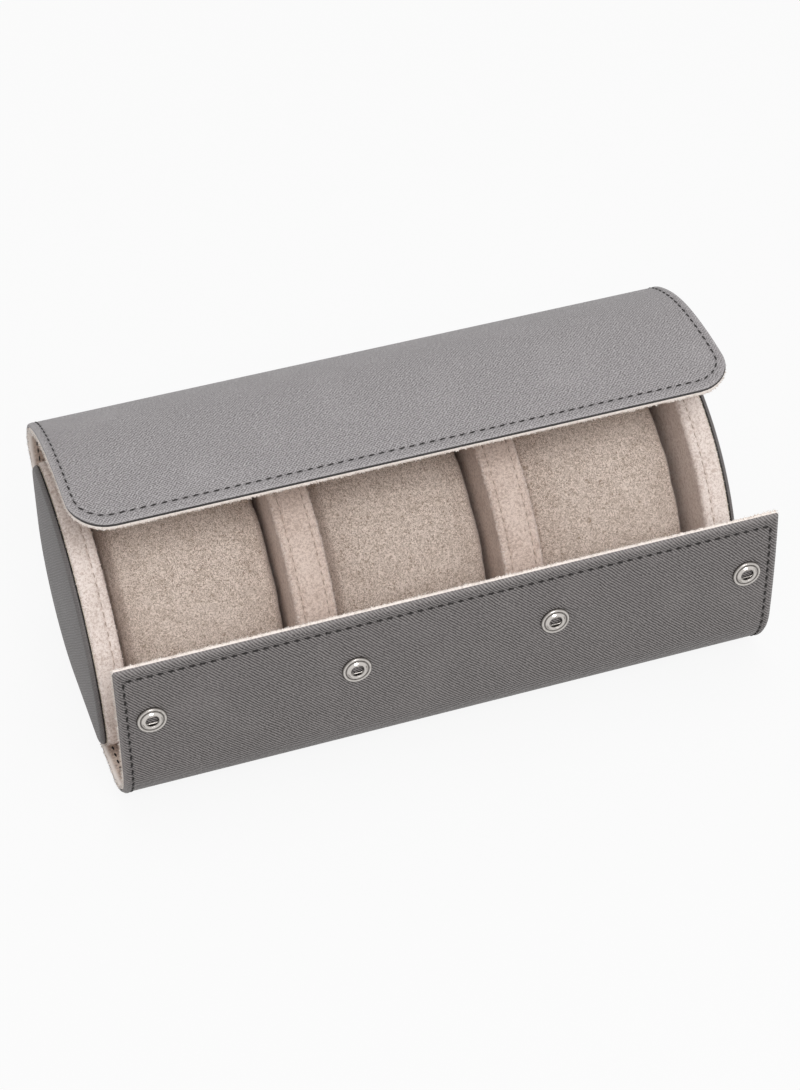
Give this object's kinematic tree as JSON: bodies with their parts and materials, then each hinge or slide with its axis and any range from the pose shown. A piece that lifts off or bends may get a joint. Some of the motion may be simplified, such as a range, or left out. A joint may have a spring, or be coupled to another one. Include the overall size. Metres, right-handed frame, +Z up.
{
  "type": "watch travel case",
  "caption": "Rolled leather watch travel case: padded body with pockets and loose pillows, hinged lid, folding front flap and press studs, shown open.",
  "frame": {"origin": "centre of the case's box on the table, with the case open", "axes": "+X along the case to the right of someone facing it, -Y the front where the flap is, +Z up"},
  "size_m": [0.2134, 0.1065, 0.0873],
  "materials": {
    "leather": "grey cross-grained leather, satin",
    "suede": "pale pinkish beige suede",
    "pillow_suede": "beige napped suede",
    "board": "grey board, hidden",
    "core": "light padded board core, hidden",
    "foam": "soft foam, hidden",
    "nickel": "bright nickel plate, lightly worn",
    "steel": "plain steel"
  },
  "bodies": {
    "base": {"base_leather": "leather", "base_lining": "suede", "bottom_board": "board", "rear_board": "board", "end_wall_left_cover": "suede", "end_wall_left_core": "core", "end_wall_right_cover": "suede", "end_wall_right_core": "core", "end_cap_left_leather": "leather", "end_cap_left_board": "board", "end_cap_right_leather": "leather", "end_cap_right_board": "board", "divider_left_cover": "suede", "divider_left_core": "core", "divider_right_cover": "suede", "divider_right_core": "core", "rear_fold_leather": "leather", "rear_fold_lining": "suede", "front_fold_leather": "leather", "front_fold_lining": "suede"},
    "lid": {"lid_leather": "leather", "lid_board": "board", "lid_lining": "suede", "lid_studs": "nickel", "lid_stud_rivets": "steel"},
    "flap": {"flap_leather": "leather", "flap_board": "board", "flap_lining": "suede", "flap_sockets": "nickel", "flap_socket_springs": "steel", "flap_eyelets": "nickel"},
    "pillow_left": {"pillow_left_cover": "pillow_suede", "pillow_left_end_panels": "pillow_suede", "pillow_left_foam": "foam"},
    "pillow_middle": {"pillow_middle_cover": "pillow_suede", "pillow_middle_end_panels": "pillow_suede", "pillow_middle_foam": "foam"},
    "pillow_right": {"pillow_right_cover": "pillow_suede", "pillow_right_end_panels": "pillow_suede", "pillow_right_foam": "foam"}
  },
  "joints": [
    {"name": "lid_hinge", "type": "hinge", "parent": "base", "child": "lid", "pos_m": [0, 0.04787, 0.05462], "axis": [-1, 0, 0], "range_deg": [-31.2, 90], "deforming": ["rear_fold_leather", "rear_fold_lining"]},
    {"name": "flap_hinge", "type": "hinge", "parent": "base", "child": "flap", "pos_m": [0, -0.02512, 0.00137], "axis": [1, 0, 0], "range_deg": [-46.3, 3.5], "deforming": ["front_fold_leather", "front_fold_lining"]},
    {"name": "pillow_left_slide", "type": "slide", "parent": "base", "child": "pillow_left", "axis": [0, -0.7071, 0.7071], "range_m": [0, 0.035]},
    {"name": "pillow_middle_slide", "type": "slide", "parent": "base", "child": "pillow_middle", "axis": [0, -0.7071, 0.7071], "range_m": [0, 0.035]},
    {"name": "pillow_right_slide", "type": "slide", "parent": "base", "child": "pillow_right", "axis": [0, -0.7071, 0.7071], "range_m": [0, 0.035]}
  ]
}
